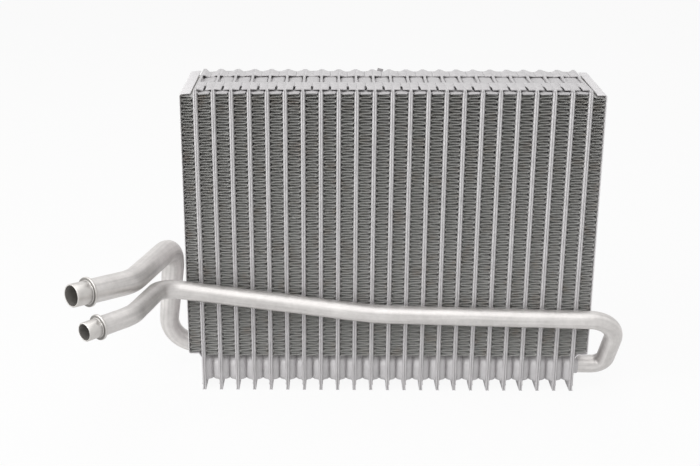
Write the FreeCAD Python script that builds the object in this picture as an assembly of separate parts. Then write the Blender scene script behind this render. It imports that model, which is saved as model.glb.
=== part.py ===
import FreeCAD, Part
import math
import os

from FreeCAD import Vector

# Vehicle air conditioning evaporator of the laminated plate kind, in millimetres.
# X runs along the row of plates, Y from front to back, Z up.
# The origin is on the standing surface, under the middle of the core.

# Row of plate pairs, each pair making one flat refrigerant tube
tube_count = 23
tube_pitch = 11.5
tube_thickness = 2.9
plate_depth = 66.0
plate_height = 210.5
sheet = 0.8

# Raised channel field of each plate, inside its flat rim
rim_width = 0.4
field_slope = 0.5
field_bottom = 3.4
field_top = 209.0

# Two header cups drawn in each plate, front and back
cup_row_offset = 17.0
cup_centre_height = 14.85
cup_depth = 28.0
cup_height = 19.1
cup_draft = 1.2
cup_corner = 3.2

# Spacer tabs bent outwards from the top edge of each plate
tab_clearance = 0.05
tab_root = 0.3
front_tab_start = 4.5
front_tab_length = 21.0
notch_length = 12.0
notch_width = 1.2
back_tab_length = 21.0
back_tab_droop = 2.0
droop_scatter = 1.5
back_corner_length = 7.5
back_tip_width = 1.0

# Corrugated fins between the plates
fin_depth = 65.0
fin_bottom = 25.2
fin_top = 209.2
fin_sheet = 0.35
fin_crossings = 20
outer_fin_width = 7.8
braze_film = 0.02

# Strip of one fin that stands up behind the tabs
torn_fin = 12
tag_width = 4.0
tag_root = 4.0
tag_rise = 3.4
tag_offset = -0.6

# Side plates with a flange over and under the outer fins
side_sheet = 0.8
side_bend = 1.6
side_bottom = 27.0
side_top = 208.0
flange_gap = 0.9
side_foot_height = 24.4
side_foot_reach = 1.8

# Bent pipes are drawn with flats round the section and short steps round each bend
pipe_flats = 12
bend_step = 21.0

# Height of the middle of both pipe feet
foot_height = 13.5

# Suction pipe, from the back header row at the left end to its spigot. Each place on it is
# a distance out from the left side of the core, then Y and Z.
suction_radius = 8.0
suction_joint_radius = 6.9
suction_wall = 1.2
suction_bends = (20.0, 21.0, 29.0)
suction_foot_out = 30.05
suction_top = (20.35, 3.0, 94.1)
suction_elbow = (39.35, -65.4, 92.1)
suction_mouth = (70.95, -100.4, 95.9)
suction_pilot = 11.5

# Liquid pipe, from the front header row at the right end across the front face. Its foot and
# loop are placed out from the right side of the core, its corner and the rest from the left.
liquid_radius = 6.35
liquid_wall = 1.0
liquid_bends = (9.0, 19.0, 180.0, 16.0, 27.6)
liquid_foot_out = 22.95
liquid_face_gap = 1.15
liquid_loop_top = (26.55, 55.8)
liquid_kink = (-9.7, 59.9)
liquid_corner = (24.45, 78.5)
liquid_elbow = (33.05, -104.3, 84.9)
liquid_mouth = (57.35, -132.3, 85.4)
liquid_pilot = 9.8

# Plug end of each pipe: a pilot with a chamfered tip, and a collar behind it
pilot_step = 0.35
tip_chamfer = 0.6
collar_length = 2.0
collar_rise = 1.8

# Unions brazed round the pipe feet
union_length = 4.5
union_wall = 0.7
pipe_clearance = 0.05

tube_half = tube_thickness / 2
gap_width = tube_pitch - tube_thickness
cup_top = tube_pitch / 2
tab_reach = tube_pitch / 2 - tab_clearance
front_face = -plate_depth / 2
back_face = plate_depth / 2
row_half = (tube_count - 1) * tube_pitch / 2
core_side = row_half + tube_half
side_inner = core_side + outer_fin_width
side_outer = side_inner + side_sheet


def tube_x(index):
    """Centre of plate pair number index, counted from 1 at the left end."""
    return (index - 1) * tube_pitch - row_half


def polygon_face(points):
    return Part.Face(Part.makePolygon(list(points) + [points[0]]))


def outline(x, y_centre, z_centre, half_depth, half_height, corner):
    """Closed wire in the plane X = x: a rectangle with its corners cut off."""
    points = []
    for y_side, z_side in ((1, 1), (-1, 1), (-1, -1), (1, -1)):
        beside = (y_side * (half_depth - corner), z_side * half_height)
        below = (y_side * half_depth, z_side * (half_height - corner))
        pair = (below, beside) if y_side == z_side else (beside, below)
        points += [Vector(x, y_centre + y, z_centre + z) for y, z in pair]
    return Part.makePolygon(points + [points[0]])


def channel_field():
    """Raised middle of a plate, a shallow pan with sloping sides."""
    wires = []
    for x, inset in ((sheet, 0), (tube_half, field_slope)):
        y_edge = back_face - rim_width - inset
        z_low = field_bottom + inset
        z_high = field_top - inset
        corners = [
            Vector(x, -y_edge, z_low),
            Vector(x, y_edge, z_low),
            Vector(x, y_edge, z_high),
            Vector(x, -y_edge, z_high),
        ]
        wires.append(Part.makePolygon(corners + [corners[0]]))
    return Part.makeLoft(wires, True, True)


def cup(y_centre):
    """Header cup with drawn, tapering sides, up to the joint with the next tube's cup."""
    wires = []
    for x, inset in ((tube_half, 0), (cup_top, cup_draft)):
        half_depth = cup_depth / 2 - inset
        half_height = cup_height / 2 - inset
        corner = cup_corner - inset / 2
        wires.append(outline(x, y_centre, cup_centre_height, half_depth, half_height, corner))
    return Part.makeLoft(wires, True, True)


def front_tab():
    """Spacer tab near the front, stepped back where it faces its neighbour's notch."""
    start = front_face + front_tab_start
    notch_end = start + notch_length
    end = start + front_tab_length
    short = tab_reach - notch_width / 2
    plan = [
        Vector(tab_root, start, plate_height),
        Vector(short, start, plate_height),
        Vector(short, notch_end, plate_height),
        Vector(tab_reach, notch_end, plate_height),
        Vector(tab_reach, end, plate_height),
        Vector(tab_root, end, plate_height),
    ]
    return polygon_face(plan).extrude(Vector(0, 0, -sheet))


def back_tab(droop):
    """Spacer tab at the back edge, hanging down a little, with its rear corner cut away."""
    start = back_face - back_tab_length
    plan = [
        Vector(tab_root, start, plate_height),
        Vector(tab_reach, start, plate_height),
        Vector(tab_reach, back_face - back_corner_length, plate_height),
        Vector(tab_root + back_tip_width, back_face, plate_height),
        Vector(tab_root, back_face, plate_height),
    ]
    tab = polygon_face(plan).extrude(Vector(0, 0, -sheet))
    tab.rotate(Vector(tab_root, 0, plate_height), Vector(0, 1, 0), droop)
    return tab


def plate(inner_side, droop):
    """One stamped plate with its joint face at X = 0; an end plate has no cups or tabs."""
    blank = Part.makeBox(sheet, plate_depth, plate_height, Vector(0, front_face, 0))
    features = [channel_field()]
    if inner_side:
        features += [cup(-cup_row_offset), cup(cup_row_offset), front_tab(), back_tab(droop)]
    return blank.fuse(features).removeSplitter()


def tube(index):
    """Brazed pair of plates, back to back on their joint face."""
    droop = back_tab_droop + droop_scatter * math.sin(2.4 * index)
    right = plate(index < tube_count, droop)
    left = plate(index > 1, droop).mirror(Vector(0, 0, 0), Vector(1, 0, 0))
    pair = Part.makeCompound([left, right])
    pair.translate(Vector(tube_x(index), 0, 0))
    return pair


def fin(x_low, x_high, z_low, z_high):
    """Thin strip folded to and fro between its neighbours, joined to them at every fold."""
    left = x_low + braze_film
    right = x_high - braze_film
    rise = (z_high - z_low) / fin_crossings
    slope = math.atan2(rise, right - left)
    fold_depth = fin_sheet / math.sin(slope)
    front = -fin_depth / 2
    near_left = []
    near_right = []
    for fold in range(fin_crossings + 1):
        z = z_low + fold * rise
        if fold % 2:
            near_left.append(Vector(right - fold_depth, front, z))
            near_right.append(Vector(right, front, z))
        else:
            near_left.append(Vector(left, front, z))
            near_right.append(Vector(left + fold_depth, front, z))
    near_right.reverse()
    return polygon_face(near_left + near_right).extrude(Vector(0, fin_depth, 0))


def inner_fin(index):
    """Fin between plate pairs index - 1 and index."""
    x_low = tube_x(index - 1) + tube_half
    strip = fin(x_low, x_low + gap_width, fin_bottom, fin_top)
    if index != torn_fin:
        return strip
    start = x_low + gap_width / 2 + tag_offset - tag_width / 2
    back = fin_depth / 2
    section = [
        Vector(start, back - fin_sheet, fin_top - tag_root),
        Vector(start, back, fin_top - tag_root),
        Vector(start, back, fin_top + tag_rise),
        Vector(start, back - fin_sheet, fin_top + tag_rise - fin_sheet),
    ]
    tag = polygon_face(section).extrude(Vector(tag_width, 0, 0))
    return strip.fuse(tag).removeSplitter()


def side_plate():
    """Right side plate: a web with a flange over the outer fin and a lip to the tube below it."""
    flange_end = core_side + flange_gap
    lip_start = core_side + side_foot_reach
    outside = [
        (flange_end, side_top),
        (side_outer - side_bend, side_top),
        (side_outer, side_top - side_bend),
        (side_outer, side_bottom + side_bend),
        (side_outer - side_bend, side_bottom),
        (lip_start, side_bottom),
        (core_side, side_foot_height),
    ]
    inside = [
        (core_side, side_foot_height + side_sheet * math.sqrt(2)),
        (lip_start - side_sheet / 2, side_bottom + side_sheet),
        (side_inner - side_bend, side_bottom + side_sheet),
        (side_inner, side_bottom + side_bend),
        (side_inner, side_top - side_bend),
        (side_inner - side_bend, side_top - side_sheet),
        (flange_end, side_top - side_sheet),
    ]
    section = [Vector(x, front_face, z) for x, z in outside + inside]
    return polygon_face(section).extrude(Vector(0, plate_depth, 0))


def outer_fin():
    """Right outer fin, between the last plate pair and the side plate."""
    return fin(core_side, side_inner, side_bottom + side_sheet, side_top - side_sheet)


def mirrored(shape):
    return shape.mirror(Vector(0, 0, 0), Vector(1, 0, 0))


def ring(centre, radius):
    """Corners of a pipe section that faces along X."""
    points = []
    for corner in range(pipe_flats):
        angle = math.radians(360 * corner / pipe_flats)
        offset = Vector(0, radius * math.cos(angle), radius * math.sin(angle))
        points.append(centre + offset)
    return points


def bend_geometry(before, corner, after, radius):
    """Tangent points, centre, axis and angle of the bend that rounds a corner of a route."""
    back = (before - corner).normalize()
    ahead = (after - corner).normalize()
    turn = math.pi - back.getAngle(ahead)
    reach = radius * math.tan(turn / 2)
    centre = corner + (back + ahead).normalize() * (radius / math.cos(turn / 2))
    axis = ahead.cross(back).normalize()
    return corner + back * reach, corner + ahead * reach, centre, axis, math.degrees(turn)


def route_rings(points, bends, sections):
    """Pipe sections along a route of straight runs and bends, with the radii at each run's ends."""
    corners = ring(points[0], sections[0][0])
    rings = [corners]
    start = points[0]
    for number, bend in enumerate(bends):
        first, last = sections[number]
        arc_start, arc_end, centre, axis, angle = bend_geometry(
            points[number], points[number + 1], points[number + 2], bend
        )
        corners = [arc_start + (point - start) * (last / first) for point in corners]
        rings.append(corners)
        steps = math.ceil(angle / bend_step)
        turn = FreeCAD.Rotation(axis, angle / steps)
        for _ in range(steps):
            corners = [centre + turn.multVec(point - centre) for point in corners]
            rings.append(corners)
        start = arc_end
    rings.append([points[-1] + (point - start) for point in corners])
    return rings


def skinned(rings):
    """Solid with flat faces from each ring of corners to the next."""
    faces = [polygon_face(rings[0]), polygon_face(rings[-1])]
    for near, far in zip(rings, rings[1:]):
        for corner in range(pipe_flats):
            after = (corner + 1) % pipe_flats
            faces.append(polygon_face([near[corner], near[after], far[after], far[corner]]))
    solid = Part.Solid(Part.Shell(faces))
    if solid.Volume < 0:
        solid.reverse()
    return solid


def spigot(radius, wall, pilot_length):
    """Plug end that points along +X, with the mouth at the origin."""
    pilot = radius - pilot_step
    collar = radius + collar_rise
    bore = pilot - wall
    collar_end = pilot_length + collar_length
    profile = [
        (0, bore),
        (0, pilot - tip_chamfer),
        (tip_chamfer, pilot),
        (pilot_length, pilot),
        (pilot_length, collar),
        (collar_end, collar),
        (collar_end, bore),
    ]
    face = polygon_face([Vector(-distance, 0, height) for distance, height in profile])
    return face.revolve(Vector(0, 0, 0), Vector(1, 0, 0), 360)


def pipe(points, bends, sections, wall, pilot_length):
    """Bent pipe, open at its foot, with the plug end formed on its mouth."""
    direction = (points[-1] - points[-2]).normalize()
    neck = points[-1] - direction * (pilot_length + collar_length)
    route = points[:-1] + [neck]
    bore_sections = [(first - wall, last - wall) for first, last in sections]
    outside = skinned(route_rings(route, bends, sections))
    hollow = outside.cut(skinned(route_rings(route, bends, bore_sections)))
    plug = spigot(sections[-1][1], wall, pilot_length)
    plug.Placement = FreeCAD.Placement(
        points[-1], FreeCAD.Rotation(Vector(1, 0, 0), direction)
    )
    return hollow.fuse(plug).removeSplitter()


def union(x, outwards, y, radius):
    """Short ring round the foot of a pipe, brazed to the end plate."""
    bore = radius + pipe_clearance
    outer = bore + union_wall
    foot = Vector(x, y, foot_height)
    tip = foot + Vector(outwards * union_length, 0, 0)
    body = skinned([ring(foot, outer), ring(tip, outer)])
    return body.cut(skinned([ring(foot, bore), ring(tip, bore)]))


def left_of_core(out, y, z):
    return Vector(-core_side - out, y, z)


def suction_pipe():
    points = [
        left_of_core(0, cup_row_offset, foot_height),
        left_of_core(suction_foot_out, cup_row_offset, foot_height),
        left_of_core(*suction_top),
        left_of_core(*suction_elbow),
        left_of_core(*suction_mouth),
    ]
    joint = suction_joint_radius
    full = suction_radius
    sections = [(joint, joint), (joint, full), (full, full), (full, full)]
    return pipe(points, suction_bends, sections, suction_wall, suction_pilot)


def liquid_pipe():
    crossing_y = front_face - liquid_face_gap - liquid_radius
    points = [
        Vector(core_side, -cup_row_offset, foot_height),
        Vector(core_side + liquid_foot_out, -cup_row_offset, foot_height),
        Vector(core_side + liquid_loop_top[0], crossing_y, liquid_loop_top[1]),
        Vector(liquid_kink[0], crossing_y, liquid_kink[1]),
        left_of_core(liquid_corner[0], crossing_y, liquid_corner[1]),
        left_of_core(*liquid_elbow),
        left_of_core(*liquid_mouth),
    ]
    sections = [(liquid_radius, liquid_radius)] * (len(points) - 1)
    return pipe(points, liquid_bends, sections, liquid_wall, liquid_pilot)


def export(name, shape):
    shape.exportStep("parts/" + name + ".step")


os.makedirs("parts", exist_ok=True)

for index in range(1, tube_count + 1):
    export("tube_%02d" % index, tube(index))

export("fin_01", mirrored(outer_fin()))
for index in range(2, tube_count + 1):
    export("fin_%02d" % index, inner_fin(index))
export("fin_%02d" % (tube_count + 1), outer_fin())

export("side_plate_left", mirrored(side_plate()))
export("side_plate_right", side_plate())
export("suction_pipe", suction_pipe())
export("liquid_pipe", liquid_pipe())
export("suction_union", union(-core_side, -1, cup_row_offset, suction_joint_radius))
export("liquid_union", union(core_side, 1, -cup_row_offset, liquid_radius))
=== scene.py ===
import math
import random

import bpy
from mathutils import Matrix, Vector


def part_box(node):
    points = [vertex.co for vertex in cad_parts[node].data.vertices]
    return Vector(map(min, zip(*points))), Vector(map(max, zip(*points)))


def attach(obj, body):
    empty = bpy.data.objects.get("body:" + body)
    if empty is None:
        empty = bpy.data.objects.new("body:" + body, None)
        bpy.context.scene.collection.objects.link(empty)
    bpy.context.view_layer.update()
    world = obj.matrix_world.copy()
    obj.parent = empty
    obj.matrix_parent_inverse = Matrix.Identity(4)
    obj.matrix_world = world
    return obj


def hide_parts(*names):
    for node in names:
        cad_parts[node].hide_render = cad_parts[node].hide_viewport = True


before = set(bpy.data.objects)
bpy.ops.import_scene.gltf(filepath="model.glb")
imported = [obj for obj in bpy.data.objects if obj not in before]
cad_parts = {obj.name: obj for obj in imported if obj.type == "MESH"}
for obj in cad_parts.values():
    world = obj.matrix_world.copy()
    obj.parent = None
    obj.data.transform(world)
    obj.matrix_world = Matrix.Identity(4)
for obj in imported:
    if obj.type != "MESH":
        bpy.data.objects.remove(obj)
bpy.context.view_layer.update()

# Plate pairs
# Each flat tube is two stamped sheets of clad aluminium, brazed face to face on their rims.
# A sheet has a raised channel field, two drawn header cups near the bottom and spacer tabs
# bent out of its top edge, and the cups of neighbouring sheets are brazed mouth to mouth.

MM = 0.001
# Slack for picking what lies on a line, and how squarely a face has to look in a direction
hair = 0.01 * MM
facing = 0.9

tube_count = 23
middle_tube = 12
tube_pitch = 11.5 * MM
tube_half = 1.45 * MM
plate_depth = 66.0 * MM
plate_height = 210.5 * MM
sheet = 0.8 * MM
rim_width = 0.35 * MM
rim_round = 0.16 * MM
seam_width = 0.32 * MM
seam_depth = 0.5 * MM
field_slope = 0.5 * MM
field_low = 3.4 * MM
field_high = 209.0 * MM
# Heights below which the feet of a pair stand further apart, and by how much
foot_splay = ((5.0 * MM, 0.24 * MM), (2.2 * MM, 0.24 * MM), (0.7 * MM, 0.16 * MM))
# Between these heights the field of a plate with cups falls back towards its rim. What stands
# further out than this above the rim is the field.
foot_fade = (20.0 * MM, 25.0 * MM)
foot_thinning = 0.3 * MM
field_proud = 0.2 * MM

cup_rows = (-17.0 * MM, 17.0 * MM)
cup_centre_height = 14.85 * MM
cup_depth = 28.0 * MM
cup_height = 19.1 * MM
cup_low_corner = 4.0 * MM
cup_high_corner = 9.0 * MM
# Height above the joint face, and how far the wall has drawn in there, in depth and in height
cup_wall = (
    (1.60 * MM, -0.10 * MM, -0.15 * MM),
    (2.00 * MM, 0.30 * MM, -0.02 * MM),
    (2.60 * MM, 0.62 * MM, 0.12 * MM),
    (3.50 * MM, 0.80 * MM, 0.20 * MM),
    (4.20 * MM, 1.05 * MM, 0.30 * MM),
    (4.90 * MM, 1.60 * MM, 0.45 * MM),
    (5.40 * MM, 2.20 * MM, 0.60 * MM),
    (5.735 * MM, 2.70 * MM, 0.72 * MM),
)
cup_flare = 0.35 * MM

tab_root = 0.16 * MM
tab_proud = 0.02 * MM
tab_reach = 5.7 * MM
tab_round = 0.15 * MM
front_tab = (-28.5 * MM, -7.5 * MM)
notch_length = 9.5 * MM
notch_width = 0.7 * MM
back_tab = (12.0 * MM, 33.0 * MM)
back_corner_length = 7.5 * MM
back_corner_width = 4.7 * MM
back_corner_hollow = 3.4 * MM
back_hollow_width = 3.4 * MM
# The rear of the top edge stands higher, past a short rise
back_lift = 0.8 * MM
back_rise = (6.0 * MM, 12.0 * MM)
# A rear tab curves down, one equal step past each of these shares of its reach
tab_droop = 0.15 * MM
droop_cuts = (0.35, 0.6, 0.8)
droop_steps = (0.3, 0.55, 0.75, 0.95)
# Handling has bent the free parts of the tabs, and those of the first tubes most
tab_band = 1.0 * MM
free_tab = 2.6 * MM
random_bend = 0.35 * MM
bent_tubes = 3
bend_step = 0.3 * MM


def select_only(*pieces):
    """Leaves edit mode and selects these pieces alone, with the first of them active."""
    if bpy.context.mode != "OBJECT":
        bpy.ops.object.mode_set(mode="OBJECT")
    bpy.ops.object.select_all(action="DESELECT")
    for piece in pieces:
        piece.select_set(True)
    bpy.context.view_layer.objects.active = pieces[0]


def pick(piece, kind, test):
    """Selects, in edit mode, the vertices, edges or faces that pass a test on their place."""
    bpy.ops.object.mode_set(mode="OBJECT")
    mesh = piece.data
    for group in (mesh.vertices, mesh.edges, mesh.polygons):
        group.foreach_set("select", [False] * len(group))
    if kind == "FACE":
        for face in mesh.polygons:
            face.select = test(face.center, face.normal)
    elif kind == "EDGE":
        for edge in mesh.edges:
            edge.select = test(*(mesh.vertices[index].co for index in edge.vertices))
    else:
        for vertex in mesh.vertices:
            vertex.select = test(vertex.co)
    bpy.context.tool_settings.mesh_select_mode = (kind == "VERT", kind == "EDGE", kind == "FACE")
    bpy.ops.object.mode_set(mode="EDIT")


def push(piece, test, shift):
    """Moves the vertices that pass a test on their place, and stays in edit mode."""
    pick(piece, "VERT", test)
    bpy.ops.transform.translate(value=shift)


def cut_at(axis, level):
    """Cuts every face of the piece in edit mode at a level along an axis."""
    across = Vector([float(letter == axis) for letter in "XYZ"])
    bpy.ops.mesh.select_all(action="SELECT")
    bpy.ops.mesh.bisect(plane_co=across * level, plane_no=across)


def add_block(low, high):
    """A cube primitive stretched between two corners, left in edit mode."""
    bpy.ops.object.select_all(action="DESELECT")
    low, high = Vector(low), Vector(high)
    bpy.ops.mesh.primitive_cube_add(size=1, location=(low + high) / 2, scale=high - low)
    bpy.ops.object.transform_apply()
    bpy.ops.object.mode_set(mode="EDIT")
    return bpy.context.object


def join(*pieces):
    """Joins pieces into the first of them."""
    select_only(*pieces)
    bpy.ops.object.join()
    return pieces[0]


def copied(piece, name, shift=(0, 0, 0), mirror=False):
    """A copy with its own mesh, shifted or mirrored left to right in its mesh."""
    select_only(piece)
    bpy.ops.object.duplicate()
    copy = bpy.context.object
    copy.name = name
    if mirror:
        bpy.ops.object.mode_set(mode="EDIT")
        bpy.ops.mesh.select_all(action="SELECT")
        bpy.ops.transform.resize(value=(-1, 1, 1), center_override=(0, 0, 0))
        bpy.ops.mesh.normals_make_consistent(inside=False)
        bpy.ops.object.mode_set(mode="OBJECT")
    bpy.ops.transform.translate(value=shift)
    bpy.ops.object.transform_apply()
    return copy


def add_modifier(piece, kind, **settings):
    """Adds a modifier with its settings and applies it."""
    bpy.context.view_layer.objects.active = piece
    modifier = piece.modifiers.new(kind.lower(), kind)
    for name, value in settings.items():
        setattr(modifier, name, value)
    bpy.ops.object.modifier_apply(modifier=modifier.name)


def round_edges(piece, width, **settings):
    """Rounds the sharp edges of a piece in two steps."""
    add_modifier(piece, "BEVEL", width=width, segments=2, limit_method="ANGLE", **settings)


def shade(piece, degrees=35):
    """Smooths the piece where its faces meet at less than an angle."""
    select_only(piece)
    bpy.ops.object.shade_smooth_by_angle(angle=math.radians(degrees))


def cover(piece, material):
    """Gives the whole piece one material."""
    piece.data.materials.clear()
    piece.data.materials.append(material)


def plate_sheet():
    """Right-hand sheet of a pair, with its joint face at X = 0."""
    piece = add_block((0, -plate_depth / 2, 0), (sheet, plate_depth / 2, plate_height))
    pick(piece, "FACE", lambda middle, normal: normal.x > facing)
    bpy.ops.mesh.inset(thickness=rim_width, depth=0)
    field_middle = (field_low + field_high) / 2
    stretch = (field_high - field_low) / (plate_height - 2 * rim_width)
    bpy.ops.transform.resize(value=(1, 1, stretch), center_override=(0, 0, plate_height / 2))
    bpy.ops.transform.translate(value=(0, 0, field_middle - plate_height / 2))
    bpy.ops.mesh.inset(thickness=field_slope, depth=tube_half - sheet)
    for height, shift in foot_splay:
        cut_at("Z", height)
        push(piece, lambda at: at.z < height - hair and at.x > sheet / 2, (shift, 0, 0))
    cut_at("X", seam_width)
    pick(piece, "VERT", lambda at: at.x < seam_width / 2)
    draw_back = 1 - 2 * seam_depth / plate_depth
    bpy.ops.transform.resize(value=(1, draw_back, 1), center_override=(0, 0, 0))
    bpy.ops.object.mode_set(mode="OBJECT")
    round_edges(piece, rim_round)
    bpy.ops.object.mode_set(mode="EDIT")
    for place in back_rise:
        cut_at("Y", place)
    push(
        piece,
        lambda at: at.z > plate_height - tab_band and at.y > back_rise[1] - hair,
        (0, 0, back_lift),
    )
    bpy.ops.object.mode_set(mode="OBJECT")
    return piece


def thin_foot(piece):
    """Draws the field of a plate with cups back towards its rim below the fins."""
    bpy.ops.object.mode_set(mode="EDIT")
    for height in foot_fade:
        cut_at("Z", height)
    push(
        piece,
        lambda at: at.z < foot_fade[1] - hair and at.x > sheet + field_proud,
        (-foot_thinning, 0, 0),
    )
    bpy.ops.object.mode_set(mode="OBJECT")


def header_cup(row):
    """Drawn cup with round corners, a flared root and a wall that draws in towards its mouth."""
    half_depth = cup_depth / 2 + cup_flare
    half_height = cup_height / 2 + cup_flare
    piece = add_block(
        (sheet, row - half_depth, cup_centre_height - half_height),
        (tube_half, row + half_depth, cup_centre_height + half_height),
    )
    for upper, corner in ((True, cup_high_corner), (False, cup_low_corner)):
        pick(
            piece,
            "EDGE",
            lambda a, b: abs(a.x - b.x) > (tube_half - sheet) / 2
            and (a.z > cup_centre_height) == upper,
        )
        bpy.ops.mesh.bevel(offset=corner, segments=6, affect="EDGES")
    pick(piece, "FACE", lambda middle, normal: normal.x > facing)
    height = tube_half
    for level, in_depth, in_height in cup_wall:
        depth_after = cup_depth / 2 - in_depth
        height_after = cup_height / 2 - in_height
        shift = (level - height, 0, 0)
        bpy.ops.mesh.extrude_region_move(TRANSFORM_OT_translate={"value": shift})
        bpy.ops.transform.resize(
            value=(1, depth_after / half_depth, height_after / half_height),
            center_override=(level, row, cup_centre_height),
        )
        height, half_depth, half_height = level, depth_after, height_after
    pick(piece, "FACE", lambda middle, normal: normal.x < -facing)
    bpy.ops.mesh.delete(type="FACE")
    bpy.ops.object.mode_set(mode="OBJECT")
    return piece


def add_tab(start, end):
    """Flat tab from the plate's upper edge to half way across the gap."""
    return add_block(
        (tab_root, start, plate_height - sheet), (tab_reach, end, plate_height + tab_proud)
    )


def tab_front():
    """Front tab, with a notch in the front part of its free edge."""
    start, end = front_tab
    piece = add_tab(start, end)
    notch_end = start + notch_length
    cut_at("Y", notch_end)
    cut_at("Y", notch_end - notch_width)
    push(
        piece,
        lambda at: at.x > tab_reach / 2 and at.y < notch_end - notch_width / 2,
        (-notch_width, 0, 0),
    )
    bpy.ops.object.mode_set(mode="OBJECT")
    round_edges(piece, tab_round)
    return piece


def tab_back():
    """Rear tab, with its rear corner hollowed away and its free edge curved down."""
    start, end = back_tab
    piece = add_tab(start, end)
    hollow_start = end - back_corner_hollow
    cut_at("Y", end - back_corner_length)
    cut_at("Y", hollow_start)
    push(
        piece,
        lambda at: at.x > tab_reach / 2 and at.y > hollow_start - hair,
        (-back_hollow_width, 0, 0),
    )
    push(
        piece,
        lambda at: at.x > tab_root + hair and at.y > end - hair,
        (back_hollow_width - back_corner_width, 0, 0),
    )
    for share in droop_cuts:
        cut_at("X", tab_root + share * (tab_reach - tab_root))
    for share in droop_steps:
        past = tab_root + share * (tab_reach - tab_root)
        push(piece, lambda at: at.x > past, (0, 0, -tab_droop / len(droop_steps)))
    push(piece, lambda at: True, (0, 0, back_lift))
    bpy.ops.object.mode_set(mode="OBJECT")
    round_edges(piece, tab_round)
    return piece


def linear(colour):
    """Linear colour of an sRGB hex value."""
    values = [int(colour[place:place + 2], 16) / 255 for place in (1, 3, 5)]
    curve = [v / 12.92 if v <= 0.04045 else ((v + 0.055) / 1.055) ** 2.4 for v in values]
    return (*curve, 1.0)


def add_node(owner, kind, inputs=None, **settings):
    """Adds a node to a material or world, with values or links for its sockets."""
    tree = owner.node_tree
    node = tree.nodes.new(kind)
    for name, value in settings.items():
        setattr(node, name, value)
    for name, value in (inputs or {}).items():
        if isinstance(value, bpy.types.NodeSocket):
            tree.links.new(value, node.inputs[name])
        else:
            node.inputs[name].default_value = value
    return node


def new_material(name):
    """A material without any nodes yet."""
    material = bpy.data.materials.new(name)
    material.use_nodes = True
    material.node_tree.nodes.clear()
    return material


def sheet_finish(name, dark, light):
    """Rolled aluminium sheet, with faint blotches between a dark and a light tone."""
    material = new_material(name)
    place = add_node(material, "ShaderNodeTexCoord").outputs["Object"]
    blotch_size = 5.0 * MM
    # The rolled grain is finer, and drawn as coarse as it needs to show
    grain_size = 0.35 * MM
    blotches = add_node(
        material, "ShaderNodeTexNoise", {"Vector": place, "Scale": 1 / blotch_size, "Detail": 3.0}
    )
    grain = add_node(
        material, "ShaderNodeTexNoise", {"Vector": place, "Scale": 1 / grain_size, "Detail": 2.0}
    )
    tone = add_node(
        material,
        "ShaderNodeMix",
        {"Factor": blotches.outputs["Fac"], "A": linear(dark), "B": linear(light)},
        data_type="RGBA",
    )
    sheen = add_node(
        material,
        "ShaderNodeMapRange",
        {"Value": blotches.outputs["Fac"], "To Min": 0.46, "To Max": 0.62},
    )
    relief = add_node(
        material,
        "ShaderNodeBump",
        {"Height": grain.outputs["Fac"], "Strength": 0.2, "Distance": 0.05 * MM},
    )
    surface = add_node(
        material,
        "ShaderNodeBsdfPrincipled",
        {
            "Base Color": tone.outputs["Result"],
            "Metallic": 0.4,
            "Roughness": sheen.outputs["Result"],
            "Normal": relief.outputs["Normal"],
        },
    )
    add_node(material, "ShaderNodeOutputMaterial", {"Surface": surface.outputs["BSDF"]})
    return material


# Pale grey with a soft satin sheen, because a thin skin of flux and molten cladding has flowed
# over the sheet and set with faint blotches.
brazed_sheet = sheet_finish("brazed_aluminium_sheet", "#bcbabb", "#d6d4d5")

bare_plate = plate_sheet()
full_plate = copied(bare_plate, "full_plate")
thin_foot(full_plate)
full_plate = join(full_plate, *map(header_cup, cup_rows), tab_front(), tab_back())
bare_mirrored = copied(bare_plate, "bare_mirrored", mirror=True)
full_mirrored = copied(full_plate, "full_mirrored", mirror=True)

bend_of_tabs = random.Random(7)
for number in range(1, tube_count + 1):
    shift = ((number - middle_tube) * tube_pitch, 0, 0)
    left = copied(bare_mirrored if number == 1 else full_mirrored, "left_plate", shift)
    right = copied(bare_plate if number == tube_count else full_plate, "right_plate", shift)
    pair = join(left, right)
    pair.name = "plate_pair_%02d" % number
    for side in (-1, 1):
        push(
            pair,
            lambda at: at.z > plate_height - tab_band
            and at.y > back_tab[0] - tab_band
            and side * (at.x - shift[0]) > free_tab,
            (0, 0, -bend_of_tabs.uniform(0.0, 1.0) * random_bend),
        )
    if number <= bent_tubes:
        push(
            pair,
            lambda at: at.z > plate_height - tab_band
            and not front_tab[0] + tab_band < at.y < back_tab[0] - tab_band
            and abs(at.x - shift[0]) > free_tab,
            (0, 0, (number - 1 - bent_tubes) * bend_step),
        )
    shade(pair)
    cover(pair, brazed_sheet)
    node = "tube_%02d" % number
    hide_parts(node)
    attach(pair, "root")
select_only(bare_plate, full_plate, bare_mirrored, full_mirrored)
bpy.ops.object.delete()

# Corrugated fins
# Between the tubes stands a thin aluminium strip folded to and fro, with louvres cut in each
# crossing and its folds brazed to the plates. A lower strip lies outside each end tube, and
# a torn strip of the middle fin stands up behind the tabs.

fin_thickness = 0.12 * MM
fin_depth = 65.0 * MM
fin_inset = 0.06 * MM
crossing_pitch = 1.76 * MM
# Distance from the tube and height above the middle of the fold
fold = (
    (0.05 * MM, 0.12 * MM),
    (0.30 * MM, 0.32 * MM),
    (0.80 * MM, 0.55 * MM),
    (1.50 * MM, 0.76 * MM),
)
outer_drop = 0.6 * MM
outer_rise = 1.4 * MM
crest_band = 3.0 * MM

# Distance from the tube and height against the top of the cap
cap_bow = (
    (0.0 * MM, -0.90 * MM),
    (0.25 * MM, -0.42 * MM),
    (0.80 * MM, -0.12 * MM),
    (1.80 * MM, 0.0 * MM),
)
cap_lip = 1.0 * MM
lip_inset = 0.5 * MM
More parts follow.
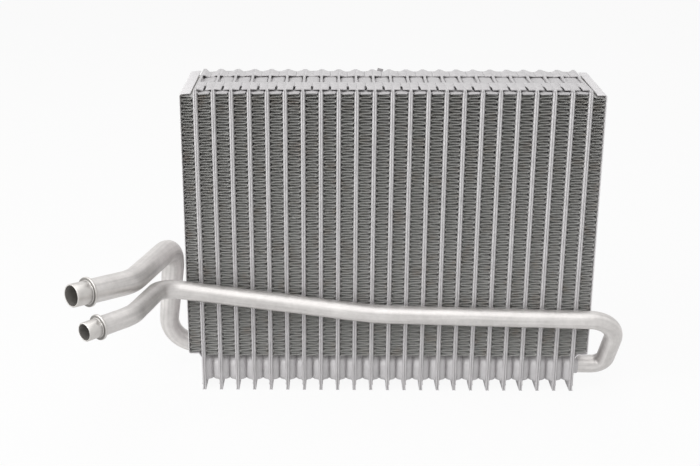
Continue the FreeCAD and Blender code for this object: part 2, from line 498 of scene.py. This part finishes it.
# From front to rear the cap falls by one step, and rises by two further back
cap_step = 0.9 * MM
cap_fall = (-29.0 * MM, -28.0 * MM)
cap_rise = (-7.2 * MM, -6.0 * MM)
# Slope of the caps from side to side
first_lean = 0.13
other_leans = (-0.02, 0.07)

torn_fin = 12
tag_width = 4.0 * MM
tag_low = 204.5 * MM
tag_high = 212.1 * MM
tag_middle = -6.35 * MM
tag_lean = -14
tag_curl = 0.8 * MM
# Distances below the tip at which the tag curls, leans from and starts to lean
tag_tip = 2.0 * MM
tag_pivot = 2.5 * MM
tag_root = 3.0 * MM


def drawn_sheet(name, path, depth):
    """Open sheet that follows a path of X and Z, drawn out across the core."""
    bpy.ops.object.select_all(action="DESELECT")
    bpy.ops.mesh.primitive_plane_add(size=depth)
    piece = bpy.context.object
    piece.name = name
    bpy.ops.object.mode_set(mode="EDIT")
    bpy.ops.mesh.delete(type="ONLY_FACE")
    pick(piece, "VERT", lambda at: at.x < 0)
    bpy.ops.mesh.delete(type="VERT")
    bpy.ops.mesh.select_all(action="SELECT")
    bpy.ops.transform.translate(value=(path[0][0] - depth / 2, 0, path[0][1]))
    for before, after in zip(path, path[1:]):
        step = (after[0] - before[0], 0, after[1] - before[1])
        bpy.ops.mesh.extrude_region_move(TRANSFORM_OT_translate={"value": step})
    bpy.ops.object.mode_set(mode="OBJECT")
    return piece


def folded_strip(name, low, high, capped):
    """Strip that crosses between two tubes many times, with rounded folds."""
    left = low.x + fin_inset
    right = high.x - fin_inset
    strip_height = high.z - low.z + (cap_bow[0][1] if capped else -outer_drop)
    crossings = 2 * round(strip_height / crossing_pitch / 2)
    pitch = strip_height / crossings
    # Half a crossing, then the rest of two crossings by symmetry
    path = [(left, low.z)]
    path += [(left + x, low.z + z) for x, z in fold]
    path += [((left + right) / 2, low.z + pitch / 2)]
    path += [(left + right - x, 2 * low.z + pitch - z) for x, z in reversed(path)]
    path += [(x, 2 * low.z + 2 * pitch - z) for x, z in reversed(path[:-1])]
    piece = drawn_sheet(name, path, fin_depth)
    add_modifier(
        piece,
        "ARRAY",
        count=crossings // 2,
        use_relative_offset=False,
        use_constant_offset=True,
        constant_offset_displace=(0, 0, 2 * pitch),
        use_merge_vertices=True,
        merge_threshold=hair,
    )
    return piece


def bowed_cap(low, high, lean):
    """Last crossing of an inner strip: bowed, leaning to one side and lower past its front."""
    left = low.x + fin_inset
    right = high.x - fin_inset
    top = high.z - fin_thickness
    bow = [(left + x, top + z) for x, z in cap_bow]
    bow += [(left + right - x, z) for x, z in reversed(bow)]
    bow = [(x, z + lean * (x - right)) for x, z in bow]
    cap = drawn_sheet("fin_cap", bow, fin_depth)
    lip_low = low.x + lip_inset
    lip_high = high.x - lip_inset
    pick(
        cap,
        "EDGE",
        lambda a, b: abs(a.y - b.y) < hair
        and lip_low < min(a.x, b.x)
        and max(a.x, b.x) < lip_high,
    )
    bpy.ops.mesh.extrude_region_move(TRANSFORM_OT_translate={"value": (0, 0, -cap_lip)})
    for place in (*cap_fall, *cap_rise):
        cut_at("Y", place)
    push(cap, lambda at: at.y > cap_fall[1] - hair, (0, 0, -cap_step))
    push(cap, lambda at: at.y > cap_rise[1] - hair, (0, 0, 2 * cap_step))
    bpy.ops.object.mode_set(mode="OBJECT")
    return cap


def torn_tag():
    """Narrow strip torn loose at the back, leaning to one side with its tip curled forwards."""
    back = fin_depth / 2
    tag = add_block(
        (tag_middle - tag_width / 2, back - fin_thickness, tag_low),
        (tag_middle + tag_width / 2, back, tag_high),
    )
    cut_at("Z", tag_high - tag_tip)
    push(tag, lambda at: at.z > tag_high - tag_tip / 2, (0, -tag_curl, 0))
    pick(tag, "VERT", lambda at: at.z > tag_high - tag_root)
    bpy.ops.transform.rotate(
        value=math.radians(tag_lean),
        orient_axis="Y",
        center_override=(tag_middle, back, tag_high - tag_pivot),
    )
    bpy.ops.object.mode_set(mode="OBJECT")
    return tag


def cloud_texture(name, size, depth):
    """Soft noise with blotches of a given size, by which a modifier bends a piece."""
    texture = bpy.data.textures.new(name, "CLOUDS")
    texture.noise_scale = size
    texture.noise_depth = depth
    return texture


# Hand and air have bent the soft strips: a slow wave and a tighter ripple, with their depths.
strip_bends = (
    (cloud_texture("strip_wave", 11.0 * MM, 1), 0.55 * MM),
    (cloud_texture("strip_ripple", 2.6 * MM, 0), 0.3 * MM),
)

# Bare fin stock: thin rolled aluminium, greyed by brazing and dull between the folds, with a few
# brown stains. Painted shade darkens the faces near the cut edges at the front and back, and the
# caps.
fin_stock = new_material("brazed_fin_stock")
place = add_node(fin_stock, "ShaderNodeTexCoord").outputs["Object"]
louvre_pitch = 1.2 * MM
stain_size = 9.0 * MM
painted_edge_shade_band = (0.4 * MM, 0.1 * MM)
painted_cap_shade_band = (207.6 * MM, 208.1 * MM)
stains = add_node(
    fin_stock, "ShaderNodeTexNoise", {"Vector": place, "Scale": 1 / stain_size, "Detail": 4.0}
)
stain_mask = add_node(
    fin_stock,
    "ShaderNodeMapRange",
    {"Value": stains.outputs["Fac"], "From Min": 0.56, "From Max": 0.75, "To Max": 0.5},
)
louvres = add_node(
    fin_stock,
    "ShaderNodeTexWave",
    {"Vector": place, "Scale": math.pi / (10 * louvre_pitch)},
    bands_direction="Y",
    wave_profile="SAW",
)
tone = add_node(
    fin_stock,
    "ShaderNodeMix",
    {"Factor": stain_mask.outputs["Result"], "A": linear("#dddddb"), "B": linear("#bdaea0")},
    data_type="RGBA",
)
along = add_node(fin_stock, "ShaderNodeSeparateXYZ", {"Vector": place})
depth_in = add_node(fin_stock, "ShaderNodeMath", {0: along.outputs["Y"]}, operation="ABSOLUTE")
# Painted shade: the faces close to the front and back edges are coloured darker.
painted_edge_shade_mask = add_node(
    fin_stock,
    "ShaderNodeMapRange",
    {
        "Value": depth_in.outputs["Value"],
        "From Min": fin_depth / 2 - painted_edge_shade_band[0],
        "From Max": fin_depth / 2 - painted_edge_shade_band[1],
    },
)
tone = add_node(
    fin_stock,
    "ShaderNodeMix",
    {"Factor": painted_edge_shade_mask.outputs["Result"], "A": tone.outputs["Result"], "B": linear("#a3a2a0")},
    data_type="RGBA",
)
# Painted shade: the caps at the top of the strip are coloured darker.
painted_cap_shade_mask = add_node(
    fin_stock,
    "ShaderNodeMapRange",
    {"Value": along.outputs["Z"], "From Min": painted_cap_shade_band[0], "From Max": painted_cap_shade_band[1]},
)
tone = add_node(
    fin_stock,
    "ShaderNodeMix",
    {"Factor": painted_cap_shade_mask.outputs["Result"], "A": tone.outputs["Result"], "B": linear("#c6c4c5")},
    data_type="RGBA",
)
relief = add_node(
    fin_stock,
    "ShaderNodeBump",
    {"Height": louvres.outputs["Fac"], "Strength": 0.5, "Distance": 0.3 * MM},
)
surface = add_node(
    fin_stock,
    "ShaderNodeBsdfPrincipled",
    {
        "Base Color": tone.outputs["Result"],
        "Metallic": 0.3,
        "Roughness": 0.5,
        "Normal": relief.outputs["Normal"],
    },
)
add_node(fin_stock, "ShaderNodeOutputMaterial", {"Surface": surface.outputs["BSDF"]})

bend_of_caps = random.Random(5)
for number in range(1, tube_count + 2):
    node = "fin_%02d" % number
    low, high = (Vector(corner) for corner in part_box(node))
    if number == torn_fin:
        # Its box has the torn strip in it, so the height is its neighbour's
        high.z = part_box("fin_11")[1][2]
    inner = 1 < number <= tube_count
    lean = first_lean if number == 2 else bend_of_caps.uniform(*other_leans)
    strip = folded_strip("folded_strip_%02d" % number, low, high, inner)
    if inner:
        strip = join(strip, bowed_cap(low, high, lean))
    else:
        push(strip, lambda at: at.z > high.z - crest_band and at.y > 0, (0, 0, outer_rise))
        bpy.ops.object.mode_set(mode="OBJECT")
    for texture, strength in strip_bends:
        add_modifier(
            strip,
            "DISPLACE",
            texture=texture,
            texture_coords="LOCAL",
            direction="Z",
            strength=strength,
            mid_level=0.5,
        )
    add_modifier(strip, "SOLIDIFY", thickness=fin_thickness, offset=0)
    if number == torn_fin:
        strip = join(strip, torn_tag())
    shade(strip, degrees=50)
    cover(strip, fin_stock)
    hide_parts(node)
    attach(strip, "root")

# Side plates
# A pressed sheet closes each end of the core. It is brazed to the outer fin, with a flange
# bent over the fin's top and a lip bent in under it that reaches back to the end tube.

side_sheet = 0.5 * MM
side_bend = 1.6 * MM
side_round = 0.12 * MM
core_side = 127.95 * MM
side_face = 136.55 * MM
side_top = 208.0 * MM
side_bottom = 27.0 * MM
side_foot_height = 24.4 * MM
side_foot_reach = 1.8 * MM
side_foot_gap = 0.1 * MM
flange_gap = 2.2 * MM
flange_band = 3.0 * MM
flange_edge = 4.0 * MM
# The flanges rise to the rear, the left one reaches further in, the right one's front is higher
side_rise = 1.5 * MM
left_flange_reach = 0.9 * MM
right_front_lift = 0.5 * MM


def rounded_turn(centre, radius, first, last, steps=4):
    """Points on the outside of a bend, between two angles in degrees."""
    angles = [math.radians(first + (last - first) * n / steps) for n in range(steps + 1)]
    return [(centre[0] + radius * math.cos(a), centre[1] + radius * math.sin(a)) for a in angles]


def side_sheet_piece():
    """Right side plate: a path of points extruded across the core, given its thickness."""
    bend_side = side_face - side_bend
    path = [(core_side + flange_gap, side_top)]
    path += rounded_turn((bend_side, side_top - side_bend), side_bend, 90, 0)
    path += rounded_turn((bend_side, side_bottom + side_bend), side_bend, 0, -90)
    path += [(core_side + side_foot_reach, side_bottom)]
    path += [(core_side + side_foot_gap, side_foot_height + side_foot_gap)]
    piece = drawn_sheet("side_sheet_right", path, plate_depth)
    bpy.ops.object.mode_set(mode="EDIT")
    bpy.ops.mesh.select_all(action="SELECT")
    bpy.ops.mesh.normals_make_consistent(inside=False)
    bpy.ops.object.mode_set(mode="OBJECT")
    middle = max(piece.data.polygons, key=lambda face: face.area)
    if middle.normal.x < 0:
        bpy.ops.object.mode_set(mode="EDIT")
        bpy.ops.mesh.flip_normals()
        bpy.ops.object.mode_set(mode="OBJECT")
    add_modifier(piece, "SOLIDIFY", thickness=side_sheet, offset=-1)
    round_edges(piece, side_round, angle_limit=1.0)
    push(piece, lambda at: at.z > side_top - flange_band and at.y > 0, (0, 0, side_rise))
    bpy.ops.object.mode_set(mode="OBJECT")
    return piece


# Plain sheet without cladding: no flux has run over it, so it stays paler.
plain_sheet = sheet_finish("plain_aluminium_sheet", "#d9d7d8", "#e9e7e8")

right_side = side_sheet_piece()
left_side = copied(right_side, "side_sheet_left", mirror=True)
push(
    left_side,
    lambda at: at.z > side_top - flange_band and at.x > -core_side - flange_edge,
    (left_flange_reach, 0, 0),
)
push(
    right_side,
    lambda at: at.z > side_top - flange_band and at.y < 0,
    (0, 0, right_front_lift),
)
bpy.ops.object.mode_set(mode="OBJECT")
for piece, node in ((right_side, "side_plate_right"), (left_side, "side_plate_left")):
    shade(piece)
    cover(piece, plain_sheet)
    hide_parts(node)
    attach(piece, "root")

# Pipes
# Both pipes are drawn aluminium tube, bent cold on a mandrel and brazed to the end plates.
# Their ends are formed into plugs: a short pilot with a chamfered tip, and a collar behind it
# that stops against the fitting. The tubes were then tumbled to a soft grey.

pipe_sides = 48
degrees_per_ring = 6
ring_spacing = 5.0 * MM
bore_depth = 27.0 * MM
bore_slack = 1.0 * MM
weld = 0.001 * MM
# How far past a line the faces still count as the plug's or the bore's
finish_slack = 0.05 * MM
# The place along a tube is kept shortened this many times, which draws the streaks out
streak_stretch = 30.0

# Radii and steps of the plugs are in plain millimetres, and so are the pipes' bends and routes
pilot_inset = 0.35
collar_proud = 1.8
collar_land = 2.5
# Steps along the bead of the collar, and how far it stands below the full radius there
collar_bead = (
    (0.0, 0.8),
    (0.12, 0.4),
    (0.28, 0.1),
    (0.4, 0.0),
    (0.4, 0.0),
    (0.4, 0.1),
    (0.28, 0.4),
    (0.12, 0.8),
)
collar_root = 0.25
# Steps along the pilot that give the dent its rings
pilot_steps = (0.25, 0.65, 0.8, 0.8, 0.8)
# Steps along the chamfered tip, and how far it stands below the pilot's radius there
tip_chamfer = ((0.35, 0.2), (0.25, 0.6))
mouth_round = 0.2
punch_distance = 3.1
punch_rise = 0.78
punch_side = 0.62
# Reach and depth of each push that makes the dent
punch_pushes = ((1.6, 0.25), (1.1, 0.35), (0.6, 0.3))


def bend_geometry(before, corner, after, radius):
    """Tangent points, centre, axis and angle of the bend that rounds a corner of a route."""
    back = (before - corner).normalized()
    ahead = (after - corner).normalized()
    turn = math.pi - back.angle(ahead)
    reach = radius * math.tan(turn / 2)
    centre = corner + (back + ahead).normalized() * (radius / math.cos(turn / 2))
    axis = ahead.cross(back).normalized()
    return corner + back * reach, corner + ahead * reach, centre, axis, turn


def draw_out(start, end, growth=1.0):
    """Extrudes the selected ring evenly to a new centre, and returns the centres it leaves."""
    count = max(1, round((end - start).length / ring_spacing))
    shift = (end - start) / count
    share = growth ** (1 / count)
    for step in range(count):
        bpy.ops.mesh.extrude_region_move(TRANSFORM_OT_translate={"value": shift})
        if growth != 1.0:
            centre = start.lerp(end, (step + 1) / count)
            bpy.ops.transform.resize(value=(share, share, share), center_override=centre)
    return [start.lerp(end, step / count) for step in range(count)]


def step_ring(centre, shift, growth):
    """One more ring, moved along the plug and grown about its new centre."""
    centre = centre + shift
    bpy.ops.mesh.extrude_region_move(TRANSFORM_OT_translate={"value": shift})
    if growth != 1.0:
        bpy.ops.transform.resize(value=(growth, growth, growth), center_override=centre)
    return centre


def assign_faces(piece, slot, test):
    """Gives the faces that pass a test the material in a slot of the piece."""
    pick(piece, "FACE", test)
    piece.active_material_index = slot
    bpy.ops.object.material_slot_assign()


def mark_drawing(piece, centres):
    """Stores each vertex's place round and along the tube, with the length shortened."""
    sides = []
    side = Vector((0, 1, 0))
    length = 0.0
    for before, after in zip(centres, centres[1:]):
        along = (after - before).normalized()
        side = (side - along * side.dot(along)).normalized()
        sides.append((before, side, along.cross(side), length))
        length += (after - before).length
    sides.append((centres[-1], *sides[-1][1:3], length))
    drawn = piece.data.attributes.new("drawn", "FLOAT_VECTOR", "POINT")
    for vertex in piece.data.vertices:
        nearest = min(sides, key=lambda ring: (ring[0] - vertex.co).length_squared)
        centre, side, other, length = nearest
        out = vertex.co - centre
        drawn.data[vertex.index].vector = (out.dot(side), out.dot(other), length / streak_stretch)


def punch_mark(piece, neck, direction, radius):
    """Small dent in the top of a pilot, close to the collar."""
    across = direction.cross(Vector((0, 0, 1))).normalized()
    raised = across.cross(direction).normalized()
    towards = (raised * punch_rise - across * punch_side).normalized()
    place = neck + direction * punch_distance * MM + towards * radius * MM
    for reach, depth in punch_pushes:
        push(piece, lambda at: (at - place).length < reach * MM, -towards * depth * MM)
    bpy.ops.object.mode_set(mode="OBJECT")


def bent_pipe(name, points, bends, radii, plug, finishes):
    """Pipe along a route; radii at the foot and past the first bend, then the plug end.

    The finishes are those of the tube, the plug, the bore and the collar's face; the last two are
    painted shade.
    """
    points = [Vector(point) * MM for point in points]
    direction = (points[-1] - points[-2]).normalized()
    mouth = points[-1]
    neck = mouth - direction * plug["length"] * MM
    route = points[:-1] + [neck]
    bpy.ops.object.select_all(action="DESELECT")
    bpy.ops.mesh.primitive_circle_add(
        vertices=pipe_sides,
        radius=radii[0] * MM,
        location=points[0],
        rotation=(0, math.pi / 2, 0),
        fill_type="NOTHING",
    )
    piece = bpy.context.object
    piece.name = name
    bpy.ops.object.transform_apply()
    bpy.ops.object.mode_set(mode="EDIT")
    bpy.context.tool_settings.mesh_select_mode = (True, False, False)
    bpy.ops.mesh.select_all(action="SELECT")
    start = points[0]
    centres = []
    for number, bend in enumerate(bends):
        arc_start, arc_end, centre, axis, turn = bend_geometry(
            route[number], route[number + 1], route[number + 2], bend * MM
        )
        growth = radii[1] / radii[0] if number == 1 else 1.0
        centres += draw_out(start, arc_start, growth)
        steps = max(2, round(math.degrees(turn) / degrees_per_ring))
        bpy.ops.mesh.spin(steps=steps, angle=turn, center=centre, axis=-axis)
        turned = [Matrix.Rotation(turn * step / steps, 4, axis) for step in range(steps)]
        centres += [centre + turning @ (arc_start - centre) for turning in turned]
        start = arc_end
    centres += draw_out(start, neck)
    centres.append(neck)
    centre = neck
    radius = radii[1]
    for along, size in plug["profile"]:
        centre = step_ring(centre, direction * along * MM, size / radius)
        radius = size
    step_ring(centre, -direction * bore_depth, 1.0)
    bpy.ops.mesh.edge_face_add()
    pick(piece, "VERT", lambda at: abs(at.x - points[0].x) < weld)
    bpy.ops.mesh.edge_face_add()
    bpy.ops.mesh.select_all(action="SELECT")
    bpy.ops.mesh.remove_doubles(threshold=weld)
    bpy.ops.mesh.normals_make_consistent(inside=False)
    for material in finishes:
        piece.data.materials.append(material)
    plug_slot, bore_shade_slot, collar_shade_slot = 1, 2, 3
    assign_faces(
        piece, plug_slot, lambda middle, normal: (middle - neck).dot(direction) > -finish_slack
    )
    # The bore takes the painted shade.
    assign_faces(
        piece,
        bore_shade_slot,
        lambda middle, normal: (middle - mouth).dot(direction) > -bore_depth - bore_slack
        and (middle - mouth).cross(direction).length < plug["bore"] * MM + finish_slack,
    )
    # The collar's front face takes the painted shade.
    assign_faces(
        piece,
        collar_shade_slot,
        lambda middle, normal: 0 < (middle - neck).dot(direction) < collar_land * MM
        and normal.dot(direction) > facing,
    )
    punch_mark(piece, neck, direction, plug["pilot"])
    mark_drawing(piece, centres)
    return piece


def plug_profile(radius, wall, pilot_length):
    """Steps along a plug end from its neck to its mouth, as (distance, radius)."""
    pilot = radius - pilot_inset
    collar = radius + collar_proud
    collar_length = sum(step for step, below in collar_bead)
    ends = sum(pilot_steps) + sum(step for step, below in tip_chamfer)
    profile = [(step, collar - below) for step, below in collar_bead]
    profile += [(0.0, pilot + collar_root)]
    profile += [(step, pilot) for step in pilot_steps]
    profile += [(pilot_length - ends, pilot)]
    profile += [(step, pilot - below) for step, below in tip_chamfer]
    profile += [(0.0, pilot - wall + mouth_round), (-mouth_round, pilot - wall)]
    return {
        "length": pilot_length + collar_length,
        "pilot": pilot,
        "bore": pilot - wall,
        "profile": profile,
    }


# Drawn aluminium tube, tumbled after bending: a soft grey gloss with long streaks from the die,
# which are painted as lighter stripes and so are partly painted reflection stretched along the
# tube, cloudy patches where the skin was rubbed and finer mottling between them. The die lines
# and the grit are finer on a real tube, and drawn as coarse as they need to show.
drawn_tube = new_material("drawn_aluminium_tube")
place = add_node(drawn_tube, "ShaderNodeTexCoord").outputs["Object"]
patch_size = 14.0 * MM
mottle_size = 3.0 * MM
grit_size = 0.4 * MM
streak_width = 2.2 * MM
patches = add_node(
    drawn_tube,
    "ShaderNodeTexNoise",
    {"Vector": place, "Scale": 1 / patch_size, "Detail": 5.0, "Roughness": 0.6},
)
mottle = add_node(
    drawn_tube, "ShaderNodeTexNoise", {"Vector": place, "Scale": 1 / mottle_size, "Detail": 3.0}
)
grit = add_node(
    drawn_tube, "ShaderNodeTexNoise", {"Vector": place, "Scale": 1 / grit_size, "Detail": 2.0}
)
rubbed = add_node(
    drawn_tube,
    "ShaderNodeMapRange",
    {"Value": patches.outputs["Fac"], "From Min": 0.35, "From Max": 0.65},
)
speckled = add_node(
    drawn_tube,
    "ShaderNodeMapRange",
    {"Value": mottle.outputs["Fac"], "From Min": 0.35, "From Max": 0.65, "To Max": 0.2},
)
drawn = add_node(drawn_tube, "ShaderNodeAttribute", attribute_name="drawn").outputs["Vector"]
# Streaks along the tube: die lines, and partly painted reflection that lightens the colour.
streaks = add_node(
    drawn_tube, "ShaderNodeTexNoise", {"Vector": drawn, "Scale": 1 / streak_width, "Detail": 2.0}
)
streak_and_reflection_mask = add_node(
    drawn_tube,
    "ShaderNodeMapRange",
    {"Value": streaks.outputs["Fac"], "From Min": 0.35, "From Max": 0.65, "To Max": 0.5},
)
clouded = add_node(
    drawn_tube,
    "ShaderNodeMath",
    {0: rubbed.outputs["Result"], 1: 0.3, 2: speckled.outputs["Result"]},
    operation="MULTIPLY_ADD",
)
mottling = add_node(
    drawn_tube,
    "ShaderNodeMath",
    {0: clouded.outputs["Value"], 1: streak_and_reflection_mask.outputs["Result"]},
    operation="ADD",
)
tone = add_node(
    drawn_tube,
    "ShaderNodeMix",
    {"Factor": mottling.outputs["Value"], "A": linear("#bfbcba"), "B": linear("#e2dfdd")},
    data_type="RGBA",
)
sheen = add_node(
    drawn_tube,
    "ShaderNodeMapRange",
    {"Value": mottling.outputs["Value"], "To Min": 0.38, "To Max": 0.54},
)
relief = add_node(
    drawn_tube,
    "ShaderNodeBump",
    {"Height": grit.outputs["Fac"], "Strength": 0.25, "Distance": 0.06 * MM},
)
surface = add_node(
    drawn_tube,
    "ShaderNodeBsdfPrincipled",
    {
        "Base Color": tone.outputs["Result"],
        "Metallic": 0.8,
        "Roughness": sheen.outputs["Result"],
        "Normal": relief.outputs["Normal"],
    },
)
add_node(drawn_tube, "ShaderNodeOutputMaterial", {"Surface": surface.outputs["BSDF"]})

# Plug end, turned in the forming tool: bright metal with a few dull smears.
turned_plug = new_material("turned_aluminium_plug")
place = add_node(turned_plug, "ShaderNodeTexCoord").outputs["Object"]
smear_size = 4.0 * MM
smears = add_node(
    turned_plug, "ShaderNodeTexNoise", {"Vector": place, "Scale": 1 / smear_size, "Detail": 4.0}
)
tone = add_node(
    turned_plug,
    "ShaderNodeMix",
    {"Factor": smears.outputs["Fac"], "A": linear("#b9b6b3"), "B": linear("#dad7d4")},
    data_type="RGBA",
)
sheen = add_node(
    turned_plug,
    "ShaderNodeMapRange",
    {"Value": smears.outputs["Fac"], "To Min": 0.38, "To Max": 0.55},
)
surface = add_node(
    turned_plug,
    "ShaderNodeBsdfPrincipled",
    {
        "Base Color": tone.outputs["Result"],
        "Metallic": 1.0,
        "Roughness": sheen.outputs["Result"],
    },
)
add_node(turned_plug, "ShaderNodeOutputMaterial", {"Surface": surface.outputs["BSDF"]})


def painted_shade_finish(name, shade_patch_size, dark, light, metallic, roughness):
    """Aluminium in a patchy darker grey with a duller shine, which paints shade on the metal."""
    material = new_material(name)
    place = add_node(material, "ShaderNodeTexCoord").outputs["Object"]
    shade_patches = add_node(
        material, "ShaderNodeTexNoise", {"Vector": place, "Scale": 1 / shade_patch_size, "Detail": 3.0}
    )
    tone = add_node(
        material,
        "ShaderNodeMix",
        {"Factor": shade_patches.outputs["Fac"], "A": linear(dark), "B": linear(light)},
        data_type="RGBA",
    )
    surface = add_node(
        material,
        "ShaderNodeBsdfPrincipled",
        {"Base Color": tone.outputs["Result"], "Metallic": metallic, "Roughness": roughness},
    )
    add_node(material, "ShaderNodeOutputMaterial", {"Surface": surface.outputs["BSDF"]})
    return material


# Bore of the tube: painted shade, a darker and duller grey than the outside of the tube.
painted_shade_bore_wall = painted_shade_finish("tube_bore_painted_shade", 6.0 * MM, "#8f8c89", "#aca9a5", 0.5, 0.55)

# Front of the collar, where the seal sits: painted shade, a darker grey than the rest of the
# plug.
painted_shade_collar_face = painted_shade_finish("collar_face_painted_shade", 3.0 * MM, "#6f6d6a", "#8f8d8a", 0.7, 0.5)

pipe_finishes = (drawn_tube, turned_plug, painted_shade_bore_wall, painted_shade_collar_face)

# The bends and handling left the walls a little uneven.
hand_marks = cloud_texture("hand_marks", 16.0 * MM, 1)
hand_mark_depth = 0.25 * MM

suction_radii = (6.9, 8.0)
suction_bends = (20.0, 21.0, 29.0)
suction_route = (
    (-127.95, 17.0, 13.5),
    (-158.0, 17.0, 13.5),
    (-148.3, 3.0, 94.1),
    (-167.3, -65.4, 92.1),
    (-198.9, -100.4, 95.9),
)
liquid_radii = (6.35, 6.35)
liquid_bends = (9.0, 19.0, 180.0, 16.0, 27.6)
crossing_y = -40.5
liquid_route = (
    (127.95, -17.0, 13.5),
    (150.9, -17.0, 13.5),
    (154.5, crossing_y, 55.8),
    (-9.7, crossing_y, 59.9),
    (-152.4, crossing_y, 78.5),
    (-161.0, -104.3, 84.9),
    (-185.3, -132.3, 85.4),
)
suction = bent_pipe(
    "bent_suction_pipe",
    suction_route,
    suction_bends,
    suction_radii,
    plug_profile(suction_radii[1], wall=1.2, pilot_length=11.5),
    pipe_finishes,
)
liquid = bent_pipe(
    "bent_liquid_pipe",
    liquid_route,
    liquid_bends,
    liquid_radii,
    plug_profile(liquid_radii[1], wall=1.0, pilot_length=9.8),
    pipe_finishes,
)
for piece, node in ((suction, "suction_pipe"), (liquid, "liquid_pipe")):
    add_modifier(
        piece,
        "DISPLACE",
        texture=hand_marks,
        texture_coords="LOCAL",
        strength=hand_mark_depth,
        mid_level=1.0,
    )
    shade(piece, degrees=30)
    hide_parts(node)
    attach(piece, "root")

# Unions
# A short aluminium ring is brazed round the foot of each pipe, against the end plate, and
# stiffens the joint between the pipe and the header cups.

union_length = 4.5 * MM
union_wall = 0.35 * MM
union_land = 0.9 * union_wall
union_crown = 0.3 * MM
union_round = 0.3 * MM
for node, end, pipe_radius, name in (
    ("suction_union", -1, suction_radii[0] * MM, "brazed_ring_left"),
    ("liquid_union", 1, liquid_radii[0] * MM, "brazed_ring_right"),
):
    low, high = (Vector(corner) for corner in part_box(node))
    centre = (low + high) / 2
    bpy.ops.object.select_all(action="DESELECT")
    bpy.ops.mesh.primitive_cylinder_add(
        vertices=pipe_sides,
        radius=pipe_radius + union_wall,
        depth=union_length,
        location=centre,
        rotation=(0, math.pi / 2, 0),
    )
    piece = bpy.context.object
    piece.name = name
    bpy.ops.object.transform_apply()
    pick(piece, "FACE", lambda middle, normal: end * normal.x > facing)
    bpy.ops.mesh.inset(thickness=union_land, depth=0)
    bpy.ops.transform.translate(value=(end * union_crown, 0, 0))
    bpy.ops.object.mode_set(mode="OBJECT")
    add_modifier(piece, "BEVEL", width=union_round, segments=3, limit_method="ANGLE")
    shade(piece)
    cover(piece, brazed_sheet)
    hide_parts(node)
    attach(piece, "root")

# Floor, light and camera
# The part stands on a plain white surface in a white studio, lit softly from the left by two
# lamps, one above the other, with weaker lamps in front and overhead.

floor_size = 6.0
floor_white = 0.92
studio_light = 0.38
lamp_target = Vector((0, 0, 0.1))


def shown_white(owner):
    """1 for the rays that show the background itself or mirror it, otherwise 0."""
    rays = add_node(owner, "ShaderNodeLightPath")
    direct = add_node(
        owner,
        "ShaderNodeMath",
        {0: rays.outputs["Is Camera Ray"], 1: rays.outputs["Is Glossy Ray"]},
        operation="MAXIMUM",
    )
    return rays, direct.outputs["Value"]


bpy.ops.object.select_all(action="DESELECT")
bpy.ops.mesh.primitive_plane_add(size=floor_size)
floor = bpy.context.object
floor.name = "studio_floor"
white_floor = new_material("white_floor")
rays, direct = shown_white(white_floor)
seen = add_node(white_floor, "ShaderNodeMath", {0: direct, 1: floor_white}, operation="MULTIPLY")
paint = add_node(white_floor, "ShaderNodeBsdfDiffuse", {"Color": linear("#f0f0ef")})
glow = add_node(white_floor, "ShaderNodeEmission", {"Strength": 1.0})
mixed = add_node(
    white_floor,
    "ShaderNodeMixShader",
    {0: seen.outputs["Value"], 1: paint.outputs["BSDF"], 2: glow.outputs["Emission"]},
)
add_node(white_floor, "ShaderNodeOutputMaterial", {"Surface": mixed.outputs["Shader"]})
floor.data.materials.append(white_floor)

world = bpy.data.worlds.new("white_studio")
bpy.context.scene.world = world
world.use_nodes = True
world.node_tree.nodes.clear()
rays, direct = shown_white(world)
shown = add_node(
    world,
    "ShaderNodeMath",
    {0: direct, 1: rays.outputs["Is Transmission Ray"]},
    operation="MAXIMUM",
)
strength = add_node(
    world,
    "ShaderNodeMapRange",
    {"Value": shown.outputs["Value"], "To Min": studio_light, "To Max": 1.0},
)
sky = add_node(
    world,
    "ShaderNodeBackground",
    {"Color": linear("#ffffff"), "Strength": strength.outputs["Result"]},
)
add_node(world, "ShaderNodeOutputWorld", {"Surface": sky.outputs["Background"]})


def soft_light(name, place, size, power):
    """A square lamp that faces the middle of the part."""
    bpy.ops.object.select_all(action="DESELECT")
    bpy.ops.object.light_add(type="AREA", location=place)
    lamp = bpy.context.object
    lamp.name = name
    lamp.data.size = size
    lamp.data.energy = power
    aim = lamp_target - Vector(place)
    lamp.rotation_euler = aim.to_track_quat("-Z", "Y").to_euler()


soft_light("key_light", (-1.5, -0.6, 0.7), 1.0, 11)
soft_light("low_light", (-1.6, -0.9, 0.35), 1.0, 8)
soft_light("front_light", (0.0, -1.2, 1.5), 1.2, 7)
soft_light("top_light", (0.0, 0.1, 1.6), 1.2, 6)

# The camera was fitted to the photograph: its place, its lens and shift in pixels, and its
# angles, in degrees down from level and in radians to the side and round the lens.
camera_place = (-0.03665, -0.79707, 0.37248)
image_width = 700
lens_pixels = 1218.6
shift_pixels = (21.1, 3.33)
look_down = 18.804
look_aside = 0.0053
camera_roll = 0.0019

bpy.ops.object.camera_add(location=camera_place)
camera = bpy.context.object
aside = Matrix.Rotation(look_aside, 4, "Z")
tilt = Matrix.Rotation(math.radians(90 - look_down), 4, "X")
roll = Matrix.Rotation(camera_roll, 4, "Z")
camera.rotation_euler = (aside @ tilt @ roll).to_euler()
camera.data.sensor_width = 36.0
camera.data.lens = lens_pixels / image_width * camera.data.sensor_width
camera.data.shift_x = shift_pixels[0] / image_width
camera.data.shift_y = shift_pixels[1] / image_width
camera.data.clip_start = 0.01
camera.data.clip_end = 20.0
bpy.context.scene.camera = camera
bpy.context.scene.view_settings.view_transform = "Standard"
